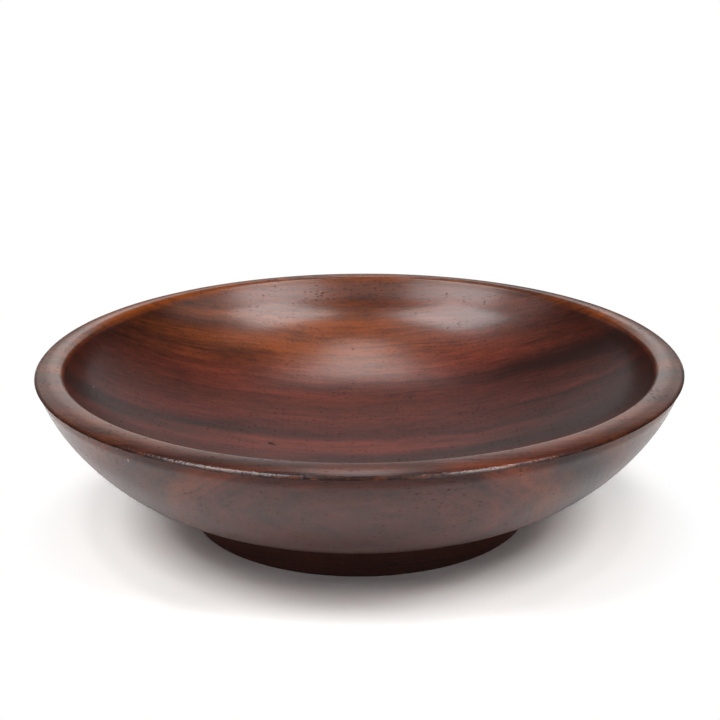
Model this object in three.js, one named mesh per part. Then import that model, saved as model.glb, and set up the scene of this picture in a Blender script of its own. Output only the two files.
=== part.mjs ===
// A turned wooden fruit bowl: a wide shallow bowl with a heavy sloping rim, glued to a turned foot.
// Millimetres, +Z up. The origin is the centre of the circle on which the foot stands.

import * as THREE from "three";

// Driving dimensions of the bowl, from the top of its foot upwards
const bowlRadius = 140.6; // to the edge of the rim
const rimEdgeRise = 54.5; // from the foot's top to the edge of the rim
const floorThickness = 7.2; // at the centre, above the foot's top

// Driving dimensions of the rim: its edge stands out a little past the wall. From there it rounds over
// onto a crowned band that rises inwards, and then rounds down into the hollow. The falls are degrees
// towards the outside.
const rimOverhang = 0.75;
const rimUndercut = 0.25; // by which the overhang's underside rises to the edge
const rimEdgeFall = 45;
const rimOuterRounding = 3;
const bandOuterFall = 25;
const bandInnerFall = 2;
const bandWidth = 9.3;
const rimInnerRounding = 3;

// Driving dimensions of the wall's outside, which drops steeply and then sweeps under to the foot
const wallSteepness = 76; // degrees just under the rim
const wallUpperSweep = 19.3; // pull of the steep part
const wallLowerSweep = 33; // pull of the level part
const wallLowerRise = 1.2; // degrees at the foot

// Driving dimensions of the hollow
const hollowSteepness = 78; // degrees just under the rim
const hollowUpperSweep = 26; // pull of the steep part
const hollowFlatRadius = 84; // pull of the level floor

// Driving dimensions of the foot
const footHeight = 15.3;
const footRadius = 74.9; // at its top, where the wall ends on it
const footDraft = 0.4; // by which its side is drawn in at the table
const footEdgeRounding = 0.8;
const recessRadius = 60; // turned out under the foot, so that it stands on a ring
const recessDepth = 6;
const recessCorner = 3;

// Driving dimensions of the joint: a spigot under the bowl, glued into a socket in the foot
const spigotRadius = 46;
const spigotLength = 4;
const glueClearance = 0.3; // round the spigot and under its end
const spigotChamfer = 0.6;

// Fineness of the surfaces
const segmentsAround = 72;
const segmentsAlongWall = 18;
const segmentsPerRounding = 4;
const leastStep = 1e-6; // below which two points of a profile are one

const radians = THREE.MathUtils.degToRad;

// A point of a profile: distance from the axis, and height
function at(radius, height) {
  return new THREE.Vector2(radius, height);
}

// The point that lies a distance away in a direction, given in degrees above the outward level
function along(from, distance, degrees) {
  return at(
    from.x + distance * Math.cos(radians(degrees)),
    from.y + distance * Math.sin(radians(degrees)),
  );
}

// A rounded stretch that starts at a point. Its surface turns from facing one way to facing another,
// in degrees above the outward level. A corner that is hollow, not round, has a negative radius.
function rounding(start, radius, fromFacing, toFacing) {
  const centre = along(start, -radius, fromFacing);
  const points = [];
  for (let i = 0; i <= segmentsPerRounding; i++) {
    const facing = fromFacing + ((toFacing - fromFacing) * i) / segmentsPerRounding;
    points.push(along(centre, radius, facing));
  }
  return points;
}

// A smooth sweep between two points, pulled towards a handle at each end
function sweep(start, startHandle, endHandle, end) {
  return new THREE.CubicBezierCurve(start, startHandle, endHandle, end).getPoints(segmentsAlongWall);
}

// Turns a profile about the vertical axis. It starts and ends on the axis and runs round the section
// with the wood on its left.
function turned(name, profile, material) {
  const joined = profile.filter((p, i) => i === 0 || p.distanceTo(profile[i - 1]) > leastStep);
  const geometry = new THREE.LatheGeometry(joined, segmentsAround);
  geometry.rotateX(Math.PI / 2);
  const mesh = new THREE.Mesh(geometry, material);
  mesh.name = name;
  return mesh;
}

// The bowl, measured from its seat on the foot
function bowlProfile() {
  const seatEdge = at(footRadius, 0);
  const rimEdge = at(bowlRadius, rimEdgeRise);
  const wallTop = at(bowlRadius - rimOverhang, rimEdgeRise - rimUndercut);
  const outside = sweep(
    seatEdge,
    along(seatEdge, wallLowerSweep, wallLowerRise),
    along(wallTop, -wallUpperSweep, wallSteepness),
    wallTop,
  );

  const outerEdge = rounding(rimEdge, rimOuterRounding, 90 - rimEdgeFall, 90 - bandOuterFall);
  const crown = bandWidth / radians(bandOuterFall - bandInnerFall);
  const band = rounding(outerEdge.at(-1), crown, 90 - bandOuterFall, 90 - bandInnerFall);
  const innerEdge = rounding(band.at(-1), rimInnerRounding, 90 - bandInnerFall, 90 + hollowSteepness);

  const hollowTop = innerEdge.at(-1);
  const hollow = sweep(
    hollowTop,
    along(hollowTop, -hollowUpperSweep, hollowSteepness),
    at(hollowFlatRadius, floorThickness),
    at(0, floorThickness),
  );

  return [
    at(0, -spigotLength),
    at(spigotRadius - spigotChamfer, -spigotLength),
    at(spigotRadius, -spigotLength + spigotChamfer),
    at(spigotRadius, 0),
    ...outside,
    ...outerEdge,
    ...band,
    ...innerEdge,
    ...hollow,
  ];
}

// The foot, measured from the table
function footProfile() {
  const socketRadius = spigotRadius + glueClearance;
  const socketFloor = footHeight - spigotLength - glueClearance;
  const sideAtTable = footRadius - footDraft;
  const cornerStart = at(recessRadius - recessCorner, recessDepth);
  const edgeStart = at(sideAtTable - footEdgeRounding, 0);
  return [
    at(0, recessDepth),
    ...rounding(cornerStart, -recessCorner, -90, -180),
    at(recessRadius, 0),
    ...rounding(edgeStart, footEdgeRounding, -90, 0),
    at(footRadius, footHeight),
    at(socketRadius, footHeight),
    at(socketRadius, socketFloor),
    at(0, socketFloor),
  ];
}

const oiledWood = new THREE.MeshStandardMaterial({
  name: "dark red-brown wood, oiled",
  color: 0x4c2419,
  roughness: 0.36,
  metalness: 0,
});
const shadedWood = oiledWood.clone();
shadedWood.name = "dark wood of the foot";
shadedWood.color.set(0x33180f);
shadedWood.roughness = 0.45;

const bowl = turned("bowl_body", bowlProfile(), oiledWood);
bowl.position.z = footHeight;
const foot = turned("foot", footProfile(), shadedWood);

const fruitBowl = new THREE.Group();
fruitBowl.name = "fruit_bowl";
fruitBowl.add(foot, bowl);

export default fruitBowl;
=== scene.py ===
# A turned wooden fruit bowl of dark red-brown hardwood, standing on its own turned foot.
# The file is laid out as an add-on: the sizes and colours that a user would change are properties, and
# the bowl, the foot and the studio each have an operator, listed in the 3D view's sidebar.
from math import cos, pi, radians, sin, tan

import bmesh
import bpy
from bpy.props import FloatProperty, FloatVectorProperty, IntProperty, PointerProperty
from mathutils import Matrix, Vector


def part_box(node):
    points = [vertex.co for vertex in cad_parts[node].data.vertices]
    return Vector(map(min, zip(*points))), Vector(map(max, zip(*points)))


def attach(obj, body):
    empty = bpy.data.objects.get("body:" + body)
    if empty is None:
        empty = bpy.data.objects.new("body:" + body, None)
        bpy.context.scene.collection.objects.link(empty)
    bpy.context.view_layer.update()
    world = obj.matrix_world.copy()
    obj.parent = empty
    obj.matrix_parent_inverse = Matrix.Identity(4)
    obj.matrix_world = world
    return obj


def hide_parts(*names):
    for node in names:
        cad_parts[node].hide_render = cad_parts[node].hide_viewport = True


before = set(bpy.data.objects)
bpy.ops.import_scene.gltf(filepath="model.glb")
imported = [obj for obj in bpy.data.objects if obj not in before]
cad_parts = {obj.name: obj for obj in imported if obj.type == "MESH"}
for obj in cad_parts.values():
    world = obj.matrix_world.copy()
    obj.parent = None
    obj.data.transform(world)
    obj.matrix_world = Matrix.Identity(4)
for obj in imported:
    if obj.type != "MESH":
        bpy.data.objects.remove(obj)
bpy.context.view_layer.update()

bl_info = {
    "name": "Turned Fruit Bowl",
    "version": (1, 0, 0),
    "blender": (4, 5, 0),
    "location": "View3D > Sidebar > Fruit Bowl",
    "description": "Turns and finishes a footed wooden fruit bowl and sets it in a plain studio",
    "category": "Object",
}

BODY = "root"
BOWL_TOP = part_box("bowl_body")[1]
FOOT_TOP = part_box("foot")[1]
MM = 0.001


def length(name, description, default, **more):
    """A size in metres that the sidebar shows in the scene's own units."""
    return FloatProperty(name=name, description=description, default=default, subtype="DISTANCE",
                         unit="LENGTH", precision=5, **more)


def angle(name, description, degrees):
    """An angle, given in degrees and kept in radians."""
    return FloatProperty(name=name, description=description, default=radians(degrees), subtype="ANGLE",
                         unit="ROTATION")


def share(name, description, default, highest=1.0):
    """A plain number from nothing to its highest."""
    return FloatProperty(name=name, description=description, default=default, min=0.0, max=highest)


def colour(name, description, default):
    """A colour without transparency, in linear light."""
    return FloatVectorProperty(name=name, description=description, default=default, size=3,
                               subtype="COLOR", min=0.0, max=1.0)


class BowlSizes(bpy.types.PropertyGroup):
    """The section of the bowl, as it is turned"""
    radius: length("Radius", "From the axis to the edge of the rim", BOWL_TOP.x)
    rim_edge_height: length("Rim Edge Height", "From the table to the edge of the rim", 69.5 * MM)
    floor_height: length("Floor Height", "From the table to the middle of the hollow", 22.5 * MM)
    rim_overhang: length("Rim Overhang", "By which the rim's edge stands out past the wall", 0.75 * MM)
    rim_undercut: length("Rim Undercut", "Height of the overhang's underside", 0.25 * MM)
    rim_edge_fall: angle("Rim Edge Fall", "Slope where the rim's edge starts to round over", 57)
    rim_outer_rounding: length("Outer Rounding", "Radius of the rim's outer edge", 4.5 * MM)
    band_outer_fall: angle("Band Outer Fall", "Slope of the rim's band at its outside", 16)
    band_inner_fall: angle("Band Inner Fall", "Slope of the rim's band at its inside", 4)
    band_width: length("Band Width", "Width of the rim's crowned band", 6.9 * MM)
    rim_inner_rounding: length("Inner Rounding", "Radius where the rim turns down", 3 * MM)
    wall_steepness: angle("Wall Steepness", "Slope of the wall just under the rim", 76)
    wall_upper_sweep: length("Wall Upper Sweep", "Pull of the steep part of the wall", 19.3 * MM)
    wall_lower_sweep: length("Wall Lower Sweep", "Pull of the level part of the wall", 33 * MM)
    wall_lower_rise: angle("Wall Lower Rise", "Slope of the wall at the foot", 1.2)
    hollow_steepness: angle("Hollow Steepness", "Slope of the hollow just under the rim", 78)
    hollow_upper_sweep: length("Hollow Upper Sweep", "Pull of the steep part of the hollow", 26 * MM)
    hollow_flat_radius: length("Hollow Flat Radius", "Pull of the level floor", 84 * MM)
    spigot_radius: length("Spigot Radius", "Radius of the spigot under the bowl", 46 * MM)
    spigot_length: length("Spigot Length", "By which the spigot reaches into the foot", 4 * MM)
    spigot_chamfer: length("Spigot Chamfer", "Bevel on the end of the spigot", 0.6 * MM)


class FootSizes(bpy.types.PropertyGroup):
    """The section of the foot, as it is turned"""
    radius: length("Radius", "At its top, where the wall ends on it", FOOT_TOP.x)
    draft: length("Draft", "By which its side is drawn in at the table", 0.4 * MM)
    edge_rounding: length("Edge Rounding", "Radius of its edge at the table", 0.8 * MM)
    recess_radius: length("Recess Radius", "Of the hollow under the foot", 60 * MM)
    recess_depth: length("Recess Depth", "Of the hollow under the foot", 6 * MM)
    recess_corner: length("Recess Corner", "Radius in the corner of that hollow", 3 * MM)
    glue_clearance: length("Glue Clearance", "Round the bowl's spigot and under its end", 0.3 * MM)


class WoodFinish(bpy.types.PropertyGroup):
    """The wood and how it is finished"""
    dark: colour("Dark Wood", "The darkest growth rings", (0.024, 0.0085, 0.0065))
    red: colour("Red Wood", "The lightest of the purplish red rings", (0.205, 0.036, 0.030))
    orange: colour("Orange Wood", "The lightest of the orange-brown rings", (0.250, 0.057, 0.009))
    wax: share("Wax", "How much of a wax polish lies on the wood", 0.85)
    gloss: share("Roughness", "How widely the wood under the wax spreads a reflection", 0.33)
    foot_wax: share("Foot Wax", "How much of a wax polish lies on the foot", 0.05)
    foot_gloss: share("Foot Roughness", "How widely the foot's wood spreads a reflection", 0.5)
    pore_length: length("Pore Length", "Length of an open pore along the grain", 3.0 * MM)
    pore_width: length("Pore Width", "Distance from pore to pore across the grain", 0.75 * MM)
    sanding: length("Sanding", "Wood taken off by the last sanding", 0.03 * MM)
    unevenness: length("Unevenness", "Depth of the low waves that hand sanding leaves", 0.10 * MM)
    steps_around: IntProperty(name="Steps Around", description="Faces round a turned piece",
                              default=360, min=12, max=720)
    steps_along: IntProperty(name="Steps Along", description="Steps along each curved stretch",
                             default=26, min=2, max=64)


class StudioLight(bpy.types.PropertyGroup):
    """The plain studio"""
    floor: colour("Floor", "The pale table", (0.85, 0.85, 0.84))
    key: share("Key Lights", "Brightness of the two high softboxes on the camera's side", 7.4, 50.0)
    low: share("Low Lights", "Brightness of the dimmer softboxes under them", 1.9, 50.0)
    top: share("Top Light", "Brightness of the softbox above and behind", 4.7, 50.0)
    ambient: share("Ambient", "Brightness of the dim room", 0.02, 10.0)
    windows: share("Windows", "Brightness of the low windows that only the gloss shows", 5.0, 50.0)
    ceiling: share("Ceiling", "Brightness of the ceiling that only the gloss shows", 0.7, 10.0)
    backdrop: share("Backdrop", "Brightness of the pale backdrop low behind the bowl", 0.88, 10.0)


# The outline of a turned piece

class Knot:
    """A point of an outline, with the two points that pull the curve before and after it."""

    def __init__(self, point, before=None):
        self.point, self.before, self.after = point, before, None


def at(radius, height):
    """A point of a section: its distance from the axis, and its height above the table."""
    return Vector((radius, 0.0, height))


def facing(turned):
    """The direction that lies an angle above the outward level."""
    return Vector((cos(turned), 0.0, sin(turned)))


def straight_to(outline, point):
    """Draws a straight stretch."""
    outline.append(Knot(point))


def sweep_to(outline, pull_after, pull_before, point):
    """Draws a smooth sweep that a point pulls at each end."""
    outline[-1].after = pull_after
    outline.append(Knot(point, before=pull_before))


def round_over(outline, radius, first, last):
    """Draws a rounded stretch, whose surface turns from facing one way to facing another.
    A corner that is hollow, not round, has a negative radius."""
    start = outline[-1].point
    centre = start - radius * facing(first)
    end = centre + radius * facing(last)
    pull = radius * 4 / 3 * tan((last - first) / 4)
    quarter = pi / 2
    sweep_to(outline, start + pull * facing(first + quarter), end - pull * facing(last + quarter), end)


def bowl_outline(bowl, foot):
    """The bowl: its spigot, its wall, the rim and the hollow."""
    seat = FOOT_TOP.z
    seat_edge = at(foot.radius, seat)
    rim_edge = at(bowl.radius, bowl.rim_edge_height)
    wall_top = rim_edge - at(bowl.rim_overhang, bowl.rim_undercut)
    upright = pi / 2
    outline = [Knot(at(0, seat - bowl.spigot_length))]
    straight_to(outline, at(bowl.spigot_radius - bowl.spigot_chamfer, seat - bowl.spigot_length))
    straight_to(outline, at(bowl.spigot_radius, seat - bowl.spigot_length + bowl.spigot_chamfer))
    straight_to(outline, at(bowl.spigot_radius, seat))
    straight_to(outline, seat_edge)
    sweep_to(outline, seat_edge + bowl.wall_lower_sweep * facing(bowl.wall_lower_rise),
             wall_top - bowl.wall_upper_sweep * facing(bowl.wall_steepness), wall_top)
    straight_to(outline, rim_edge)
    round_over(outline, bowl.rim_outer_rounding, upright - bowl.rim_edge_fall,
               upright - bowl.band_outer_fall)
    crown = bowl.band_width / (bowl.band_outer_fall - bowl.band_inner_fall)
    round_over(outline, crown, upright - bowl.band_outer_fall, upright - bowl.band_inner_fall)
    round_over(outline, bowl.rim_inner_rounding, upright - bowl.band_inner_fall,
               upright + bowl.hollow_steepness)
    hollow_top = outline[-1].point
    sweep_to(outline, hollow_top - bowl.hollow_upper_sweep * facing(bowl.hollow_steepness),
             at(bowl.hollow_flat_radius, bowl.floor_height), at(0, bowl.floor_height))
    return outline


def foot_outline(bowl, foot):
    """The foot: the recess it stands round, its side and the socket for the bowl's spigot."""
    level, down, inward = 0.0, -pi / 2, -pi
    socket_radius = bowl.spigot_radius + foot.glue_clearance
    socket_floor = FOOT_TOP.z - bowl.spigot_length - foot.glue_clearance
    outline = [Knot(at(0, foot.recess_depth))]
    straight_to(outline, at(foot.recess_radius - foot.recess_corner, foot.recess_depth))
    round_over(outline, -foot.recess_corner, down, inward)
    straight_to(outline, at(foot.recess_radius, 0))
    straight_to(outline, at(foot.radius - foot.draft - foot.edge_rounding, 0))
    round_over(outline, foot.edge_rounding, down, level)
    straight_to(outline, at(foot.radius, FOOT_TOP.z))
    straight_to(outline, at(socket_radius, FOOT_TOP.z))
    straight_to(outline, at(socket_radius, socket_floor))
    straight_to(outline, at(0, socket_floor))
    return outline


def drawn(name, outline, steps):
    """The outline as a curve object."""
    curve = bpy.data.curves.new(name, "CURVE")
    curve.dimensions = "3D"
    curve.resolution_u = steps
    spline = curve.splines.new("BEZIER")
    spline.bezier_points.add(len(outline) - 1)
    for knot, point in zip(outline, spline.bezier_points):
        point.co = knot.point
        for side, pull in (("left", knot.before), ("right", knot.after)):
            setattr(point, f"handle_{side}_type", "FREE" if pull else "VECTOR")
            setattr(point, f"handle_{side}", pull or knot.point)
    made = bpy.data.objects.new(name, curve)
    bpy.context.scene.collection.objects.link(made)
    return made


# Node trees

class Nodes:
    """Short calls for building a node tree."""

    def __init__(self, tree):
        self.tree = tree

    def add(self, kind, inputs=(), **settings):
        """A node, its settings, and its inputs by name or number: a socket is linked, a value is set."""
        node = self.tree.nodes.new(kind)
        for key, value in settings.items():
            setattr(node, key, value)
        for key, value in dict(inputs).items():
            self.put(node.inputs[key], value)
        return node

    def put(self, socket, value):
        """Links a socket to another, or sets its value."""
        if isinstance(value, bpy.types.NodeSocket):
            self.tree.links.new(value, socket)
        else:
            socket.default_value = value

    def math(self, operation, *values):
        """One operation on numbers."""
        return self.add("ShaderNodeMath", dict(enumerate(values)), operation=operation).outputs[0]

    def total(self, *values):
        """The sum of numbers."""
        whole = values[0]
        for value in values[1:]:
            whole = self.math("ADD", whole, value)
        return whole

    def product(self, *values):
        """The product of numbers."""
        whole = values[0]
        for value in values[1:]:
            whole = self.math("MULTIPLY", whole, value)
        return whole

    def rest(self, value):
        """What a number leaves of one."""
        return self.math("SUBTRACT", 1.0, value)

    def apart(self, value, middle):
        """How far a number lies from a middle."""
        return self.math("ABSOLUTE", self.math("SUBTRACT", value, middle))

    def swing(self, noise, width):
        """Noise about a half, made to swing about nothing."""
        return self.product(self.math("SUBTRACT", noise, 0.5), width)

    def vector(self, operation, *values):
        """One operation on vectors."""
        node = self.add("ShaderNodeVectorMath", operation=operation)
        for socket, value in zip(node.inputs, values):
            self.put(socket, value)
        return node.outputs[0]

    def scaled(self, value, factors):
        """A vector with each part multiplied by its own factor."""
        return self.vector("MULTIPLY", value, factors)

    def size(self, value):
        """The length of a vector."""
        return self.add("ShaderNodeVectorMath", {0: value}, operation="LENGTH").outputs["Value"]

    def joined(self, x, y, z):
        """A vector from three numbers."""
        return self.add("ShaderNodeCombineXYZ", {"X": x, "Y": y, "Z": z}).outputs[0]

    def parts(self, value):
        """The three numbers of a vector."""
        return self.add("ShaderNodeSeparateXYZ", {0: value}).outputs[:]

    def between(self, value, low, high, first=0.0, last=1.0):
        """A number taken smoothly from one range to another, and held at its ends."""
        node = self.add("ShaderNodeMapRange", interpolation_type="SMOOTHSTEP")
        for socket, number in zip(node.inputs, (value, low, high, first, last)):
            self.put(socket, number)
        return node.outputs[0]

    def noise(self, position, layer, seed):
        """Smooth noise about a half: one of the layers that are listed with the wood. The seed moves it."""
        lengths, detail, roughness, own_seed = LAYERS[layer]
        place = self.scaled(position, [1 / wave for wave in lengths])
        shift = [(seed + own_seed) * part for part in SEED_SHIFT]
        moved = self.vector("ADD", place, shift)
        return self.add("ShaderNodeTexNoise", {"Vector": moved, "Scale": 1.0, "Detail": detail,
                                               "Roughness": roughness}).outputs[0]

    def mixed(self, factor, first, second):
        """Two colours mixed."""
        node = self.add("ShaderNodeMix", data_type="RGBA")
        colours = [s for s in node.inputs if s.type == "RGBA"]
        self.put(node.inputs[0], factor)
        for socket, value in zip(colours, (first, second)):
            self.put(socket, value if isinstance(value, bpy.types.NodeSocket) else (*value, 1.0))
        return next(s for s in node.outputs if s.type == "RGBA")

    def ramp(self, value, stops, interpolation):
        """A number that follows a list of stops."""
        node = self.add("ShaderNodeValToRGB", {0: value})
        node.color_ramp.interpolation = interpolation
        elements = node.color_ramp.elements
        while len(elements) < len(stops):
            elements.new(1.0)
        for element, (place, tone) in zip(elements, stops):
            element.position = place
            element.color = (tone, tone, tone, 1.0)
        return node.outputs[0]


def emptied(holder):
    """Short calls for the node tree of a material or a world, which is emptied first."""
    holder.use_nodes = True
    holder.node_tree.nodes.clear()
    return Nodes(holder.node_tree)


# Turning

SAME_POINT = 1e-6  # metres, below which two points are one
WAVE_LENGTH = 24 * MM  # of the low waves that hand sanding leaves
CRISP_ANGLE = 28.0  # degrees, above which an edge looks sharp


def turning_tree():
    """Turns an outline about the upright axis. The outline's own points make the rings, and the last
    sanding leaves the surface a little uneven."""
    tree = bpy.data.node_groups.new("Turned on the Lathe", "GeometryNodeTree")
    sockets = (("Outline", "INPUT", "NodeSocketGeometry"), ("Steps Around", "INPUT", "NodeSocketInt"),
               ("Sanding", "INPUT", "NodeSocketFloat"), ("Unevenness", "INPUT", "NodeSocketFloat"),
               ("Wave Length", "INPUT", "NodeSocketFloat"), ("Seed", "INPUT", "NodeSocketFloat"),
               ("Crisp Angle", "INPUT", "NodeSocketFloat"), ("Wood", "INPUT", "NodeSocketMaterial"),
               ("Piece", "OUTPUT", "NodeSocketGeometry"))
    for name, way, kind in sockets:
        tree.interface.new_socket(name, in_out=way, socket_type=kind)
    n = Nodes(tree)
    given = n.add("NodeGroupInput").outputs

    points = n.add("GeometryNodeCurveToPoints", {0: given["Outline"]}, mode="EVALUATED").outputs[0]
    count = n.add("GeometryNodeAttributeDomainSize", {0: points}, component="POINTCLOUD").outputs[0]
    rings = n.math("ADD", given["Steps Around"], 1)
    grid = n.add("GeometryNodeMeshGrid", {"Vertices X": rings, "Vertices Y": count}).outputs[0]

    # The grid's points run along the outline and then round. Half a point keeps rounding off the step
    # before.
    index = n.add("GeometryNodeInputIndex").outputs[0]
    along = n.math("FLOORED_MODULO", index, count)
    around = n.math("FLOOR", n.math("DIVIDE", n.math("ADD", index, 0.5), count))
    turn = n.math("MULTIPLY", n.math("DIVIDE", around, given["Steps Around"]), 2 * pi)
    place = n.add("GeometryNodeSampleIndex", {"Geometry": points, "Index": along},
                  data_type="FLOAT_VECTOR", domain="POINT")
    n.put(place.inputs["Value"], n.add("GeometryNodeInputPosition").outputs[0])
    radius, _, height = n.parts(place.outputs[0])
    where = n.joined(n.math("MULTIPLY", radius, n.math("COSINE", turn)),
                     n.math("MULTIPLY", radius, n.math("SINE", turn)), height)
    turned = n.add("GeometryNodeSetPosition", {"Geometry": grid, "Position": where}).outputs[0]
    closed = n.add("GeometryNodeMergeByDistance", {"Geometry": turned, "Distance": SAME_POINT}).outputs[0]

    here = n.add("GeometryNodeInputPosition").outputs[0]
    waves = n.add("ShaderNodeTexNoise", {"Vector": here, "W": given["Seed"], "Detail": 1.0,
                                         "Scale": n.math("DIVIDE", 1.0, given["Wave Length"])},
                  noise_dimensions="4D").outputs[0]
    depth = n.total(given["Sanding"], n.product(waves, given["Unevenness"]))
    inward = n.add("ShaderNodeVectorMath", {0: n.add("GeometryNodeInputNormal").outputs[0],
                                            "Scale": n.product(depth, -1.0)}, operation="SCALE").outputs[0]
    sanded = n.add("GeometryNodeSetPosition", {"Geometry": closed, "Offset": inward}).outputs[0]

    bend = n.add("GeometryNodeInputMeshEdgeAngle").outputs[0]
    sharp = n.math("GREATER_THAN", bend, given["Crisp Angle"])
    smooth = n.add("GeometryNodeSetShadeSmooth", {"Geometry": sanded}, domain="FACE").outputs[0]
    crisp = n.add("GeometryNodeSetShadeSmooth", {"Geometry": smooth, "Selection": sharp,
                                                 "Shade Smooth": False}, domain="EDGE").outputs[0]
    whole = n.add("GeometryNodeRealizeInstances", {0: crisp}).outputs[0]
    dressed = n.add("GeometryNodeSetMaterial", {"Geometry": whole, "Material": given["Wood"]}).outputs[0]
    n.add("NodeGroupOutput", {0: dressed})
    return tree


def turned_piece(name, outline, wood, material, seed):
    """Turns an outline, takes the result as a plain mesh with its faces outwards, and clears up."""
    blank = drawn(name + "_outline", outline, wood.steps_along)
    tree = turning_tree()
    modifier = blank.modifiers.new("Turned", "NODES")
    modifier.node_group = tree
    given = {"Steps Around": wood.steps_around, "Sanding": wood.sanding, "Unevenness": wood.unevenness,
             "Wave Length": WAVE_LENGTH, "Seed": seed, "Crisp Angle": radians(CRISP_ANGLE),
             "Wood": material}
    for item in tree.interface.items_tree:
        if item.name in given:
            modifier[item.identifier] = given[item.name]
    evaluated = blank.evaluated_get(bpy.context.evaluated_depsgraph_get())
    mesh = bpy.data.meshes.new_from_object(evaluated)
    blank.modifiers.remove(modifier)
    bpy.data.objects.remove(blank)
    shell = bmesh.new()
    shell.from_mesh(mesh)
    if shell.calc_volume(signed=True) < 0:
        bmesh.ops.reverse_faces(shell, faces=shell.faces)
    shell.to_mesh(mesh)
    shell.free()
    mesh.name = name
    piece = bpy.data.objects.new(name, mesh)
    bpy.context.scene.collection.objects.link(piece)
    return piece


# Wood

# Layers of noise: the length of the waves along each axis in millimetres, detail, roughness and seed.
# The first five follow the grain: along it, from ring to ring, and across both.
LAYERS = {
    "cloud": ((40, 14, 30), 3.0, 0.55, 9),
    "lines": ((80, 2.6, 50), 3.0, 0.6, 5),
    "fine": ((24, 0.7, 10), 2.0, 0.6, 7),
    "mottle": ((9, 1.8, 6), 2.0, 0.6, 23),
    "thin": ((110, 1.1, 60), 1.0, 0.5, 17),
    "speckle": ((1.6, 0.8, 0.8), 1.0, 0.6, 15),
    "haze": ((14, 14, 14), 4.0, 0.6, 11),
    "wander": ((70, 60, 60), 1.0, 0.5, 0),
    "ripple": ((26, 14, 14), 2.0, 0.5, 3),
    "pore_crowd": ((16, 7, 7), 1.0, 0.5, 13),
    "patches": ((7, 7, 3), 3.0, 0.65, 19),
    "worn": ((5, 5, 2), 2.0, 0.5, 25),
    "dents": ((1.1, 1.1, 1.1), 2.0, 0.6, 21),
}
SEED_SHIFT = (1.0, 1.7, -0.6)  # by which one step of a seed moves a layer along each axis
BOW, WANDER, RIPPLE = 0.0014, 5.0, 1.5  # how far the rings stray from straight and round
ASLANT = 0.7  # for the direction across the grain, halfway between level and upright

# How far each layer of the figure swings the tone, and how far the thin dark lines lower it. Lighter wood
# swings further.
TONE_SWINGS = {"cloud": 0.6, "lines": 1.4, "fine": 1.3, "mottle": 1.2, "speckle": 0.9}
THIN_LINES, THIN_LINE_TONE = (0.56, 0.74), -0.22
SWING_WITH_TONE, LEAST_SWING = 0.75, 0.12

# Open pores: how full each is by its noise, its reach in its cell when full, its soft border, and below
# what fullness it is closed
PORE_FULLNESS, PORE_CROWDING, PORE_REACH = (0.30, 1.10), 1.8, 0.32
PORE_BORDER, CLOSED_PORE = (0.08, 0.02), 0.12
PORE_SHOWS, PORE_COLOUR = 0.6, (0.014, 0.006, 0.005)
# Small marks fade out over the outer part of their reach
MARK_BORDER, MARK_RAGGEDNESS = (0.45, 1.0), 1.2
MARK_COLOUR, NICK_COLOUR = (0.008, 0.003, 0.003), (0.42, 0.28, 0.24)

# Fades over the bowl, in millimetres: from where to where, and from how much to how much, or else from
# none to all. Radii are taken from the axis, heights from the table, rings from the pith, along is X and
# across is Y, away from the camera.
RIM_HEIGHT, RIM_RADIUS = (68.3, 70.3), (126.0, 128.5)
LIP_HEIGHT, LIP_RADIUS = (70.6, 71.6), (128.6, 130.2, 1.0, 0.0)
TIP_HEIGHT, TIP_RADIUS, TIP_ALONG = (68.3, 69.3), (132.5, 137.0), (66.0, 92.0)
# The hollow lies above a dish, which is level out to a radius and then curves up
DISH_LEVEL_RADIUS, DISH_CURVE, DISH_HEIGHT = 50.0, 0.0062, (16.0, 18.0)
# The heart is the wood nearest the pith, in the far half of the hollow. It is redder towards the right
# and darker towards both ends.
HEART_RINGS, HEART_REDDER = (300.0, 320.0, 1.0, 0.0), (0.0, 60.0, 0.0, 0.5)
HEART_MIDDLE, HEART_DARKER, HEART_DARKEST = -8.0, (35.0, 122.0, 0.0, 0.60), (112.0, 126.0, 0.0, 0.22)
RIM_WARMTH, RIM_LIGHTER = (300.0, 340.0, 1.0, 0.35), (300.0, 335.0, 0.10, 0.0)
# The rim's lip is painted lighter as a painted highlight, and the outer half of the rim at its tips is
# painted darker as painted shade
LIP_PAINTED_HIGHLIGHT, TIPS_PAINTED_SHADE = 0.10, 0.45
# The rim's outer edge: where dents have rubbed it, and a dark line along its lowest part, which reaches
# higher in the middle of the front and has the colour rubbed off it in places. The line is partly a worn
# dark edge and partly painted shade under the rim's overhang.
EDGE_RADIUS, DENTED_HEIGHT = (138.6, 139.6), (66.0, 69.0)
FRONT_ACROSS = (-100.0, -90.0, 1.0, 0.0)
LINE_TOP, LINE_FOOT, LINE_WAVERS = (69.7, 70.4, 1.0, 0.0), (68.8, 69.3), 1.6
LINE_MIDDLE, LINE_HIGHER = 5.0, (22.0, 42.0, 0.55, 0.0)
LINE_SHOWS, WORN_AND_SHADED_LINE_COLOUR = 0.9, (0.016, 0.005, 0.003)
WORN_PATCHES, WORN_SHOWS, WORN_COLOUR = (0.48, 0.70), 0.7, (0.110, 0.028, 0.010)

# The wax: more of it on the rim, and less at the rim's two tips, on the dark line, in the hollow except on
# its far wall, where hands hold the rim in front, and on the rim at the back
RIM_MORE_WAX, TIPS_LESS_WAX, LINE_LESS_WAX = 0.15, 0.62, 0.85
HOLLOW_LESS_WAX, BACK_LESS_WAX = (30.0, 75.0, 0.68, 0.0), (60.0, 95.0, 0.0, 0.35)
HANDLED_MIDDLE, HANDLED = 4.0, (6.0, 40.0, 0.5, 0.0)
WAX_ROUGHNESS, WOOD_SPECULAR = 0.22, 0.12
HAZE_ROUGHNESS, FINE_ROUGHNESS, PORE_ROUGHNESS = 0.12, 0.10, 0.4
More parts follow.
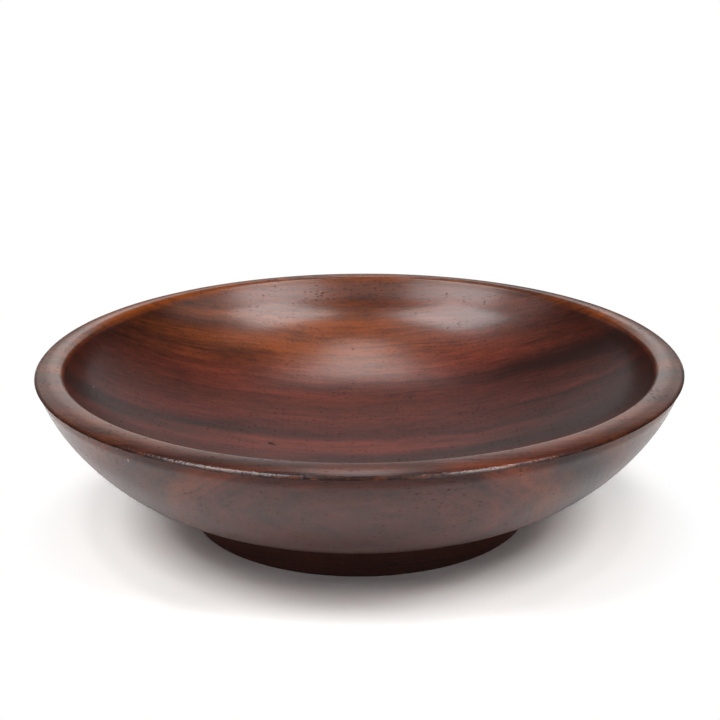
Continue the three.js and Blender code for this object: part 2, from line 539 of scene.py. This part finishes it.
# The relief: how high each layer stands, as shares of the bump's distance
RELIEF, DENT_RELIEF = {"fine": 0.60, "lines": 0.35, "haze": 0.8, "speckle": 0.50}, 6.0
BUMP_STRENGTH, BUMP_DISTANCE = 0.55, 0.06 * MM


def growth_rings(n, here, pith, seed):
    """The distance from the pith, in millimetres. It is bowed along the grain and wanders a little."""
    x, y, z = n.parts(here)
    across = n.math("SUBTRACT", y, pith[0])
    above = n.math("SUBTRACT", z, pith[1])
    distance = n.math("SQRT", n.total(n.product(across, across), n.product(above, above)))
    return n.total(distance, n.product(x, x, BOW), n.swing(n.noise(here, "wander", seed), WANDER),
                   n.swing(n.noise(here, "ripple", seed), RIPPLE))


def ring_tones(n, ring, tones):
    """How light and how orange the rings are, from those listed."""
    first, last = tones[0][0], tones[-1][0]
    place = n.math("DIVIDE", n.math("SUBTRACT", ring, first), last - first)
    stops = [(at_ring - first) / (last - first) for at_ring, _, _ in tones]
    lightness = n.ramp(place, [(stop, tone) for stop, (_, tone, _) in zip(stops, tones)], "EASE")
    warmth = n.ramp(place, [(stop, warm) for stop, (_, _, warm) in zip(stops, tones)], "LINEAR")
    return lightness, warmth


def streaked(n, x, ring, streaks):
    """By how much darker streaks lower the tone: each sets in somewhere along the grain."""
    lowered = []
    for (x_from, x_to), (ring_from, ring_to), depth in streaks:
        middle = (ring_from + ring_to) / 2
        lowered.append(n.product(n.between(ring, ring_from, middle),
                                 n.between(ring, middle, ring_to, 1.0, 0.0),
                                 n.between(x, x_from, x_to, 0.0, depth)))
    return n.total(*lowered) if lowered else 0.0


def marked(n, here, marks, ragged):
    """How strongly small marks, such as pin knots, show at each place. Their edges are ragged."""
    shown = 0.0
    for place, reach, strength in marks:
        offset = n.vector("DIVIDE", n.vector("SUBTRACT", here, place), reach)
        far = n.total(n.size(offset), ragged)
        shown = n.math("MAXIMUM", shown, n.between(far, *MARK_BORDER, strength, 0.0))
    return shown


def open_pores(n, here, wood, seed):
    """Open pores, more of them in some rings than in others: short dashes along the grain."""
    cells = n.scaled(here, (MM / wood.pore_length, MM / wood.pore_width, MM / wood.pore_width))
    dots = n.add("ShaderNodeTexVoronoi", {"Vector": cells, "Scale": 1.0, "Randomness": 1.0},
                 voronoi_dimensions="3D", feature="F1")
    chosen = n.parts(dots.outputs["Color"])[0]
    crowd = n.swing(n.noise(here, "pore_crowd", seed), PORE_CROWDING)
    fullness = n.between(n.total(chosen, crowd), *PORE_FULLNESS)
    reach = n.product(fullness, PORE_REACH)
    inner, outer = PORE_BORDER
    edge = n.between(dots.outputs["Distance"], n.math("SUBTRACT", reach, inner), n.total(reach, outer),
                     1.0, 0.0)
    return n.product(edge, n.math("GREATER_THAN", fullness, CLOSED_PORE))


def bowl_zones(n, x, z, away):
    """Where the rim is, its inner lip, its outer half at the bowl's two tips, and the hollow."""
    rim = n.product(n.between(z, *RIM_HEIGHT), n.between(away, *RIM_RADIUS))
    lip = n.product(n.between(z, *LIP_HEIGHT), n.between(away, *LIP_RADIUS))
    tips = n.product(n.between(z, *TIP_HEIGHT), n.between(away, *TIP_RADIUS),
                     n.between(n.apart(x, 0.0), *TIP_ALONG))
    beyond = n.math("MAXIMUM", n.math("SUBTRACT", away, DISH_LEVEL_RADIUS), 0.0)
    above_dish = n.math("SUBTRACT", z, n.product(beyond, beyond, DISH_CURVE))
    return rim, lip, tips, n.between(above_dish, *DISH_HEIGHT)


def worn_and_shaded_edge(n, here, away, seed):
    """Where dents have rubbed the rim's edge, where its dark line runs, partly a worn dark edge and partly
    painted shade, and where hands hold the rim.
    """
    x, y, z = n.parts(here)
    front = n.between(y, *FRONT_ACROSS)
    outer = n.between(away, *EDGE_RADIUS)
    rubbed = n.product(outer, n.between(z, *DENTED_HEIGHT))
    higher = n.product(n.between(n.apart(x, LINE_MIDDLE), *LINE_HIGHER), front)
    wavers = n.swing(n.noise(here, "patches", seed), LINE_WAVERS)
    height = n.math("SUBTRACT", z, n.total(higher, wavers))
    worn_and_shaded_line = n.product(outer, n.between(height, *LINE_TOP), n.between(z, *LINE_FOOT))
    handled = n.product(n.between(n.apart(x, HANDLED_MIDDLE), *HANDLED), front)
    return rubbed, worn_and_shaded_line, handled


def wood_material(name, wood, polish, tones, pith, seed, streaks=(), rim_streaks=(), marks=(), nicks=(),
                  rimmed=False):
    """Solid dark wood: growth rings about a pith that runs along X, with their own tones, fine lines,
    fibres and open pores, under a wax polish. The polish is how much wax there is, and how rough the wood
    under it is. A piece with a rim has it rubbed by hands, and carries painted light and shade on the rim:
    a painted highlight along its lip, and painted shade at its tips and in the dark line along its edge."""
    waxed, roughness = polish
    material = bpy.data.materials.new(name)
    n = emptied(material)
    here = n.scaled(n.add("ShaderNodeTexCoord").outputs["Object"], (1 / MM, 1 / MM, 1 / MM))
    x, y, z = n.parts(here)
    ring = growth_rings(n, here, pith, seed)
    grain = n.joined(x, ring, n.product(n.math("SUBTRACT", y, z), ASLANT))
    rim = lip = tips = inside = rubbed = worn_and_shaded_line = handled = 0.0
    if rimmed:
        away = n.size(n.scaled(here, (1.0, 1.0, 0.0)))
        rim, lip, tips, inside = bowl_zones(n, x, z, away)
        rubbed, worn_and_shaded_line, handled = worn_and_shaded_edge(n, here, away, seed)
    off_rim = n.rest(rim)

    # Tones of the rings. The rim's lip is painted lighter, a painted highlight, and the outer half of the
    # rim at its two tips is painted darker, a painted shade where it rounds away from the light
    broad, warmth = ring_tones(n, ring, tones)
    heart = n.product(n.between(ring, *HEART_RINGS), off_rim, inside)
    warmth = n.product(warmth, n.rest(n.product(n.between(x, *HEART_REDDER), heart)))
    warmth = n.math("MAXIMUM", warmth, n.product(rim, n.between(ring, *RIM_WARMTH)))
    ends = n.product(n.total(n.between(n.apart(x, HEART_MIDDLE), *HEART_DARKER),
                             n.between(n.apart(x, 0.0), *HEART_DARKEST)), heart)
    broad = n.product(broad, n.rest(ends))
    broad = n.math("SUBTRACT", broad, n.product(streaked(n, x, ring, streaks), off_rim))
    if rimmed:
        broad = n.total(broad, n.product(rim, n.between(ring, *RIM_LIGHTER)), n.product(lip, LIP_PAINTED_HIGHLIGHT))
        broad = n.math("SUBTRACT", broad, n.product(streaked(n, x, ring, rim_streaks), rim))
        broad = n.product(broad, n.rest(n.product(tips, TIPS_PAINTED_SHADE)))

    # Clouds, broad and fine lines along the grain, mottle, speckle, and sparse thin dark lines
    layers = {layer: n.noise(grain, layer, seed) for layer in ("cloud", "lines", "fine", "mottle")}
    layers["speckle"] = n.noise(here, "speckle", seed)
    layers["haze"] = n.noise(here, "haze", seed)
    thin = n.between(n.noise(grain, "thin", seed), *THIN_LINES)
    swings = n.total(*(n.swing(layers[layer], width) for layer, width in TONE_SWINGS.items()),
                     n.product(thin, THIN_LINE_TONE))
    tone = n.total(broad, n.product(swings, n.total(n.product(broad, SWING_WITH_TONE), LEAST_SWING)))
    light = n.mixed(warmth, wood.red[:], wood.orange[:])
    body = n.mixed(n.add("ShaderNodeClamp", {0: tone}).outputs[0], wood.dark[:], light)

    # Pores, small marks, and the dark line along the rim's edge, which is partly a worn dark edge and
    # partly painted shade
    pore = open_pores(n, here, wood, seed)
    body = n.mixed(n.product(pore, PORE_SHOWS), body, PORE_COLOUR)
    ragged = n.swing(layers["speckle"], MARK_RAGGEDNESS)
    mark = marked(n, here, marks, ragged)
    body = n.mixed(mark, body, MARK_COLOUR)
    body = n.mixed(marked(n, here, nicks, ragged), body, NICK_COLOUR)
    if rimmed:
        worn = n.between(n.noise(here, "worn", seed), *WORN_PATCHES)
        body = n.mixed(n.product(worn_and_shaded_line, LINE_SHOWS), body, WORN_AND_SHADED_LINE_COLOUR)
        body = n.mixed(n.product(worn_and_shaded_line, worn, WORN_SHOWS), body, WORN_COLOUR)

    # Polish, a little uneven, and none in the pores and marks
    rough = n.total(roughness, n.swing(layers["haze"], HAZE_ROUGHNESS),
                    n.swing(layers["fine"], FINE_ROUGHNESS), n.product(pore, PORE_ROUGHNESS))
    wax = n.product(n.rest(n.math("MAXIMUM", pore, mark)), n.total(n.product(rim, RIM_MORE_WAX), waxed),
                    n.rest(n.product(tips, TIPS_LESS_WAX)), n.rest(n.product(worn_and_shaded_line, LINE_LESS_WAX)),
                    n.rest(n.product(inside, off_rim, n.between(y, *HOLLOW_LESS_WAX))),
                    n.rest(n.product(handled, rim)),
                    n.rest(n.product(rim, n.between(y, *BACK_LESS_WAX))))

    # Relief: fibres that stand up, the orange-peel of old polish, and small dents along the edge
    relief = n.total(*(n.product(layers[layer], height) for layer, height in RELIEF.items()),
                     n.product(rubbed, n.noise(here, "dents", seed), DENT_RELIEF))
    bump = n.add("ShaderNodeBump", {"Height": relief, "Strength": BUMP_STRENGTH,
                                    "Distance": BUMP_DISTANCE}).outputs[0]

    shader = n.add("ShaderNodeBsdfPrincipled", {"Base Color": body, "Roughness": rough, "Normal": bump,
                                                "Coat Normal": bump, "Coat Weight": wax})
    shader.inputs["Coat Roughness"].default_value = WAX_ROUGHNESS
    shader.inputs["Specular IOR Level"].default_value = WOOD_SPECULAR
    n.add("ShaderNodeOutputMaterial", {"Surface": shader.outputs[0]})
    return material


# The bowl's growth rings: the distance from the pith in millimetres, the tone of the wood there, from
# dark 0 to light 1, and its hue, from red 0 to orange 1
BOWL_TONES = (
    (205, 0.50, 0.9), (212, 0.55, 0.8), (220, 0.54, 0.8), (228, 0.58, 0.9), (232, 0.75, 0.9),
    (236, 0.62, 0.9), (240, 0.82, 0.9), (244, 0.98, 0.9), (248, 0.78, 0.8), (252, 0.82, 0.6),
    (256, 0.54, 0.4), (260, 0.36, 0.3), (265, 0.45, 0.3), (270, 0.30, 0.3), (276, 0.43, 0.2),
    (282, 0.24, 0.1), (285, 0.18, 0.0), (288, 0.60, 0.2), (292, 0.52, 0.2), (296, 0.06, 0.0),
    (304, 0.30, 0.5), (312, 0.20, 0.5), (322, 0.50, 0.9), (330, 0.40, 0.9), (337, 0.47, 0.8),
    (342, 0.20, 0.5), (345, 0.11, 0.4), (348, 0.26, 0.6), (351.5, 0.46, 0.6), (354.5, 0.14, 0.2),
    (357, 0.25, 0.3), (364, 0.23, 0.3),
)
# Streaks in them: where each sets in along the grain, the rings that it takes in, and by how much it
# darkens them, or lightens them where that is negative. A streak whose second place lies to the left of
# its first runs on to the left, and the others to the right.
BOWL_STREAKS = (
    ((15, 80), (248, 274), 0.26), ((-30, -60), (240, 261), 0.36), ((-40, -62), (253, 265), -0.18),
    ((-55, -80), (275, 285), -0.16), ((15, 60), (283, 300), 0.20), ((25, 55), (271, 281), 0.12),
    ((-10, -40), (290, 302), -0.24), ((-45, -65), (282, 294), 0.20), ((30, 85), (233, 247), 0.12),
    ((-18, 0), (206, 234), 0.20), ((15, 40), (212, 236), -0.28), ((0, -26), (227, 242), -0.24),
    ((-38, -60), (228, 244), 0.40), ((-52, -76), (214, 232), 0.16), ((10, 26), (236, 254), 0.20),
    ((60, 90), (220, 240), 0.06), ((-36, -46), (241, 252), 0.14), ((40, 60), (254, 268), -0.04),
    ((-62, -85), (242, 259), -0.26), ((10, 30), (225, 240), 0.20), ((66, 84), (225, 240), -0.14),
    ((10, 60), (261, 272), -0.10), ((60, 85), (269, 279), -0.12), ((-60, -90), (288, 296), 0.14),
    ((-80, -100), (280, 288), -0.12), ((-80, -100), (262, 276), -0.12),
    ((42, 52), (344, 356), -0.14), ((-25, -40), (348, 360), -0.12), ((55, 66), (342, 360), 0.18),
    ((-66, -76), (346, 362), 0.20), ((44, 52), (350, 362), -0.20), ((58, 68), (350, 362), 0.20),
    ((10, 20), (347, 355), -0.14), ((68, 80), (331, 341), 0.16), ((64, 76), (340, 352), 0.12),
)
# The same for the rim. The first one starts beyond the bowl, so it runs the whole length.
RIM_STREAKS = (
    ((-150, -149), (343, 360), 0.22), ((22, 40), (336, 362), -0.32), ((70, 84), (336, 362), 0.34),
    ((-24, -10), (343, 360), -0.18), ((8, 20), (343, 360), 0.16),
    ((10, 45), (196, 266), 0.42), ((-35, -60), (196, 258), -0.12), ((95, 105), (240, 328), 0.18),
    ((120, 130), (240, 328), -0.14), ((-110, -128), (240, 320), -0.10),
)
BOWL_PITH = (146.7, 280.8)
# Small dark marks, in millimetres: where each is, its reach along each axis, and how strongly it shows
BOWL_MARKS = (
    ((-40.6, 15.4, 24.8), (1.6, 1.9, 1.9), 0.95),
    ((-38.9, 14.0, 24.8), (1.9, 0.9, 0.9), 0.8),
    ((24.4, 64.6, 29.2), (1.1, 1.1, 1.1), 0.8),
    ((-57.9, -115.4, 48.5), (1.4, 1.4, 1.4), 0.4),
)
# Pale nicks, in the same way
BOWL_NICKS = (
    ((-118.9, 10.9, 54.2), (0.7, 0.7, 0.7), 0.9),
    ((-92.7, -104.6, 69.2), (0.8, 0.8, 0.8), 0.8),
    ((-88.1, -106.6, 64.6), (0.6, 0.6, 0.9), 0.9),
)
BOWL_GRAIN_SEED, BOWL_SANDING_SEED = 2.0, 1.0
# The foot's rings are painted far darker than the bowl's: painted shade, as the foot stands in shadow under
# the bowl
FOOT_TONES_WITH_PAINTED_SHADE = ((150, 0.10, 0.4), (160, 0.04, 0.4), (172, 0.12, 0.4), (180, 0.02, 0.3), (196, 0.10, 0.4),
              (214, 0.03, 0.3), (240, 0.09, 0.4))
FOOT_PITH = (-60.0, -180.0)
FOOT_GRAIN_SEED, FOOT_SANDING_SEED = 8.0, 5.0


class FRUITBOWL_OT_turn_bowl(bpy.types.Operator):
    """Turn the bowl itself: rim, wall, hollow and the spigot under it"""
    bl_idname = "fruit_bowl.turn_bowl"
    bl_label = "Turn the Bowl"

    def execute(self, context):
        scene, wood = context.scene, context.scene.wood_finish
        material = wood_material("Waxed Dark Hardwood", wood, (wood.wax, wood.gloss), BOWL_TONES, BOWL_PITH,
                                 BOWL_GRAIN_SEED, BOWL_STREAKS, RIM_STREAKS, BOWL_MARKS, BOWL_NICKS,
                                 rimmed=True)
        piece = turned_piece("turned_bowl", bowl_outline(scene.bowl_sizes, scene.foot_sizes), wood,
                             material, BOWL_SANDING_SEED)
        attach(piece, BODY)
        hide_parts("bowl_body")
        return {"FINISHED"}


class FRUITBOWL_OT_turn_foot(bpy.types.Operator):
    """Turn the foot: the ring it stands on and the socket for the bowl's spigot"""
    bl_idname = "fruit_bowl.turn_foot"
    bl_label = "Turn the Foot"

    def execute(self, context):
        scene, wood = context.scene, context.scene.wood_finish
        # The foot's wood is painted dark, as painted shade under the bowl
        material = wood_material("Dark Hardwood of the Foot", wood, (wood.foot_wax, wood.foot_gloss),
                                 FOOT_TONES_WITH_PAINTED_SHADE, FOOT_PITH, FOOT_GRAIN_SEED)
        piece = turned_piece("turned_foot", foot_outline(scene.bowl_sizes, scene.foot_sizes), wood,
                             material, FOOT_SANDING_SEED)
        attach(piece, BODY)
        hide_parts("foot")
        return {"FINISHED"}


# The studio

SOFTBOXES = (
    # name, which brightness, degrees round from the camera's side, degrees up, distance, width, height
    ("left_softbox", "key", -62.0, 57.0, 1.30, 0.60, 0.70),
    ("right_softbox", "key", 52.0, 56.0, 1.30, 0.58, 0.70),
    ("left_fill", "low", -50.0, 22.0, 1.30, 0.56, 0.52),
    ("right_fill", "low", 42.0, 22.0, 1.30, 0.56, 0.52),
    ("top_softbox", "top", 180.0, 65.0, 1.30, 0.18, 0.66),
)
AIM_HEIGHT = 50 * MM  # of the point at which the softboxes look
# The room, in degrees. Each part fades from its first number to its second: heights are above the level,
# and the windows lie round from the camera's side, each from and to.
BACKDROP_FOOT, BACKDROP_TOP = (3, 12), (24, 50)
WINDOWS, WINDOW_BLUR = ((-60.0, -23.0), (17.0, 55.0)), 7.0
SILL, LINTEL = (-4, 4), (33, 46)
CEILING_FOOT = (52, 68)
# Where in the room these are, as the part of a direction that points aside or away from the camera
BACKDROP_AWAY, WINDOWS_AWAY, CEILING_AWAY = (0.50, 0.85), (-0.2, 0.0, 1.0, 0.0), (0.05, 0.30, 1.0, 0.0)
CEILING_ASIDE = (0.03, 0.25, 0.35, 1.0)  # it is dimmer over the middle
BETWEEN_WINDOWS = 0.2  # the brightness of the wall between the windows, as a share of theirs
# The table, in metres from the middle of the foot. In the gloss it is painted darker outwards, less so
# beside the bowl and behind it: painted light for the reflections.
MIRRORED_PAINTED_LIGHT = (0.40, 0.90, 0.92, 0.35)
BESIDE_ASIDE, BESIDE_FAR, BESIDE_PAINTED_LIGHT = (0.14, 0.25), (-0.12, 0.0), 0.4
# To the camera it is painted brighter from the foot's edge outwards, less so at both sides, which leaves
# painted shade round the foot. In front painted shade darkens it close to the foot and painted light
# brightens it further out. Beyond the shadow it runs out to white.
PAINTED_FLOOR_LIGHT = (0.075, 0.089, 1.0, 1.80)
SIDES_ASIDE, SIDES_AWAY, SIDES_PAINTED_SHADE = (0.035, 0.075), (0.108, 0.122), -0.18
FRONT_ASIDE, FRONT_NEAR = (0.02, 0.075, 1.0, 0.0), (-0.078, -0.070, 1.0, 0.0)
FRONT_PAINTED_SHADE_AND_LIGHT, FRONT_AWAY = (0.083, 0.097, -0.24, 0.13), (0.106, 0.120, 1.0, 0.0)
BLUE_OF_PAINTED_LIGHT = 0.99
WHITE_AWAY = (0.125, 0.155)
WHITE = (1, 1, 1, 1)
CAMERA_DISTANCE = 770.0 * MM  # from the middle of the circle on which the bowl stands
CAMERA_ELEVATION = 23.01  # degrees, seen from there
CAMERA_ASIDE = 0.33 * MM  # to the right
CAMERA_TILT = 18.09  # degrees below the level
CAMERA_ROLL = -0.365  # degrees
CAMERA_LENS = 84.88  # millimetres, on a sensor 36 mm wide
SENSOR_WIDTH = 36.0
CLIPPING = (0.01, 50.0)  # metres
FLOOR_RADIUS, FLOOR_SIDES = 6.0, 96  # metres, and a number


def softbox(name, round_, up, distance, width, height, brightness):
    """A soft light that looks at the bowl."""
    lamp = bpy.data.lights.new(name, "AREA")
    lamp.shape, lamp.size, lamp.size_y = "RECTANGLE", width, height
    lamp.energy = brightness * pi * width * height
    made = bpy.data.objects.new(name, lamp)
    bpy.context.scene.collection.objects.link(made)
    turn, rise = radians(round_), radians(up)
    back = Vector((sin(turn) * cos(rise), -cos(turn) * cos(rise), sin(rise)))
    made.location = back * distance + Vector((0.0, 0.0, AIM_HEIGHT))
    made.rotation_mode = "QUATERNION"
    made.rotation_quaternion = back.to_track_quat("Z", "Y")
    made.visible_camera = False


def floor_material(tint):
    """The pale table. To the camera it is painted brighter away from the foot, with painted shade left
    close to it, and runs out to white, while the bowl's shadow stays. In the gloss its brightness is
    painted too."""
    material = bpy.data.materials.new("Pale Table")
    n = emptied(material)
    path = n.add("ShaderNodeLightPath").outputs
    here = n.add("ShaderNodeTexCoord").outputs["Object"]
    x, y, _ = n.parts(here)
    aside, away = n.apart(x, 0.0), n.size(here)
    # The table's brightness in the gloss is painted: painted light for the bowl's reflections
    beside = n.product(n.between(aside, *BESIDE_ASIDE), n.between(y, *BESIDE_FAR), BESIDE_PAINTED_LIGHT)
    painted_reflection = n.product(n.between(away, *MIRRORED_PAINTED_LIGHT), n.total(beside, 1.0))
    mirrored = n.mixed(path["Is Glossy Ray"], tint[:], n.joined(painted_reflection, painted_reflection, painted_reflection))
    # Painted shade and painted light on the table, for the camera only
    sides = n.product(n.between(aside, *SIDES_ASIDE), n.between(away, *SIDES_AWAY), SIDES_PAINTED_SHADE)
    front = n.product(n.between(aside, *FRONT_ASIDE), n.between(y, *FRONT_NEAR),
                      n.between(away, *FRONT_PAINTED_SHADE_AND_LIGHT), n.between(away, *FRONT_AWAY))
    painted_light = n.product(n.between(away, *PAINTED_FLOOR_LIGHT), n.total(sides, front, 1.0))
    painted_floor_colour = n.mixed(path["Is Camera Ray"], mirrored, n.joined(painted_light, painted_light, n.product(painted_light, BLUE_OF_PAINTED_LIGHT)))
    diffuse = n.add("ShaderNodeBsdfDiffuse", {"Color": painted_floor_colour}).outputs[0]
    white = n.add("ShaderNodeEmission", {"Color": WHITE, "Strength": 1.0}).outputs[0]
    far = n.product(n.between(away, *WHITE_AWAY), path["Is Camera Ray"])
    both = n.add("ShaderNodeMixShader", {0: far, 1: diffuse, 2: white}).outputs[0]
    n.add("ShaderNodeOutputMaterial", {"Surface": both})
    return material


def climbing(n, up, heights, first=0.0, last=1.0):
    """A number that changes between two heights in the room, given in degrees above the level."""
    low, high = (sin(radians(height)) for height in heights)
    return n.between(up, low, high, first, last)


def blurred(side):
    """Between which angles the side of a window fades: it is given in degrees, and they are in radians."""
    return radians(side - WINDOW_BLUR), radians(side + WINDOW_BLUR)


def room(light):
    """A dim room with a pale backdrop low behind the bowl, and all white where the camera sees it. The
    gloss alone shows two low windows on the camera's side and the ceiling over them."""
    world = bpy.data.worlds.new("Studio")
    bpy.context.scene.world = world
    n = emptied(world)
    path = n.add("ShaderNodeLightPath").outputs
    aside, away, up = n.parts(n.add("ShaderNodeTexCoord").outputs["Generated"])
    paper = n.math("MULTIPLY", n.math("SUBTRACT", climbing(n, up, BACKDROP_FOOT),
                                      climbing(n, up, BACKDROP_TOP)), n.between(away, *BACKDROP_AWAY))
    round_ = n.math("ARCTAN2", aside, n.product(away, -1.0))
    panes = n.total(*(n.product(n.between(round_, *blurred(first)),
                                n.between(round_, *blurred(last), 1.0, 0.0)) for first, last in WINDOWS))
    wall = n.product(climbing(n, up, SILL), climbing(n, up, LINTEL, 1.0, 0.0))
    windows = n.product(n.between(panes, 0.0, 1.0, BETWEEN_WINDOWS, 1.0), wall,
                        n.between(away, *WINDOWS_AWAY), path["Is Glossy Ray"], light.windows)
    ceiling = n.product(climbing(n, up, CEILING_FOOT), n.between(n.apart(aside, 0.0), *CEILING_ASIDE),
                        n.between(away, *CEILING_AWAY), path["Is Glossy Ray"], light.ceiling)
    strength = n.total(light.ambient, n.product(paper, light.backdrop), windows, ceiling)
    dim = n.add("ShaderNodeBackground", {"Color": WHITE, "Strength": strength}).outputs[0]
    white = n.add("ShaderNodeBackground", {"Color": WHITE, "Strength": 1.0}).outputs[0]
    both = n.add("ShaderNodeMixShader", {0: path["Is Camera Ray"], 1: dim, 2: white}).outputs[0]
    n.add("ShaderNodeOutputWorld", {"Surface": both})


def camera():
    """The camera at the photograph's place."""
    data = bpy.data.cameras.new("camera")
    data.lens, data.sensor_width = CAMERA_LENS, SENSOR_WIDTH
    data.clip_start, data.clip_end = CLIPPING
    made = bpy.data.objects.new("camera", data)
    bpy.context.scene.collection.objects.link(made)
    rise = radians(CAMERA_ELEVATION)
    made.location = (CAMERA_ASIDE, -CAMERA_DISTANCE * cos(rise), CAMERA_DISTANCE * sin(rise))
    tilt = Matrix.Rotation(radians(90.0 - CAMERA_TILT), 4, "X")
    roll = Matrix.Rotation(radians(CAMERA_ROLL), 4, "Z")
    made.rotation_euler = (tilt @ roll).to_euler()
    bpy.context.scene.camera = made


class FRUITBOWL_OT_set_stage(bpy.types.Operator):
    """Set the pale table, the softboxes and the camera"""
    bl_idname = "fruit_bowl.set_stage"
    bl_label = "Set the Stage"

    def execute(self, context):
        light = context.scene.studio_light
        disc = bmesh.new()
        bmesh.ops.create_circle(disc, cap_ends=True, segments=FLOOR_SIDES, radius=FLOOR_RADIUS)
        mesh = bpy.data.meshes.new("table")
        disc.to_mesh(mesh)
        disc.free()
        mesh.materials.append(floor_material(light.floor))
        floor = bpy.data.objects.new("table", mesh)
        context.scene.collection.objects.link(floor)
        for name, level, *place in SOFTBOXES:
            softbox(name, *place, getattr(light, level))
        room(light)
        camera()
        context.scene.view_settings.view_transform = "Standard"
        return {"FINISHED"}


class FRUITBOWL_PT_sidebar(bpy.types.Panel):
    """The steps and their settings"""
    bl_idname = "FRUITBOWL_PT_sidebar"
    bl_label = "Fruit Bowl"
    bl_space_type = "VIEW_3D"
    bl_region_type = "UI"
    bl_category = "Fruit Bowl"

    def draw(self, context):
        for step in STEPS:
            self.layout.operator(step.bl_idname)
        for name in SETTINGS:
            box = self.layout.box()
            settings = getattr(context.scene, name)
            for item in settings.__annotations__:
                box.prop(settings, item)


SETTINGS = {"bowl_sizes": BowlSizes, "foot_sizes": FootSizes, "wood_finish": WoodFinish,
            "studio_light": StudioLight}
STEPS = (FRUITBOWL_OT_set_stage, FRUITBOWL_OT_turn_bowl, FRUITBOWL_OT_turn_foot)
CLASSES = (BowlSizes, FootSizes, WoodFinish, StudioLight, *STEPS, FRUITBOWL_PT_sidebar)


def register():
    for cls in CLASSES:
        bpy.utils.register_class(cls)
    for name, cls in SETTINGS.items():
        setattr(bpy.types.Scene, name, PointerProperty(type=cls))


def unregister():
    for name in SETTINGS:
        delattr(bpy.types.Scene, name)
    for cls in reversed(CLASSES):
        bpy.utils.unregister_class(cls)


def main():
    register()
    bpy.ops.fruit_bowl.set_stage()
    bpy.ops.fruit_bowl.turn_bowl()
    bpy.ops.fruit_bowl.turn_foot()


if __name__ == "__main__":
    main()
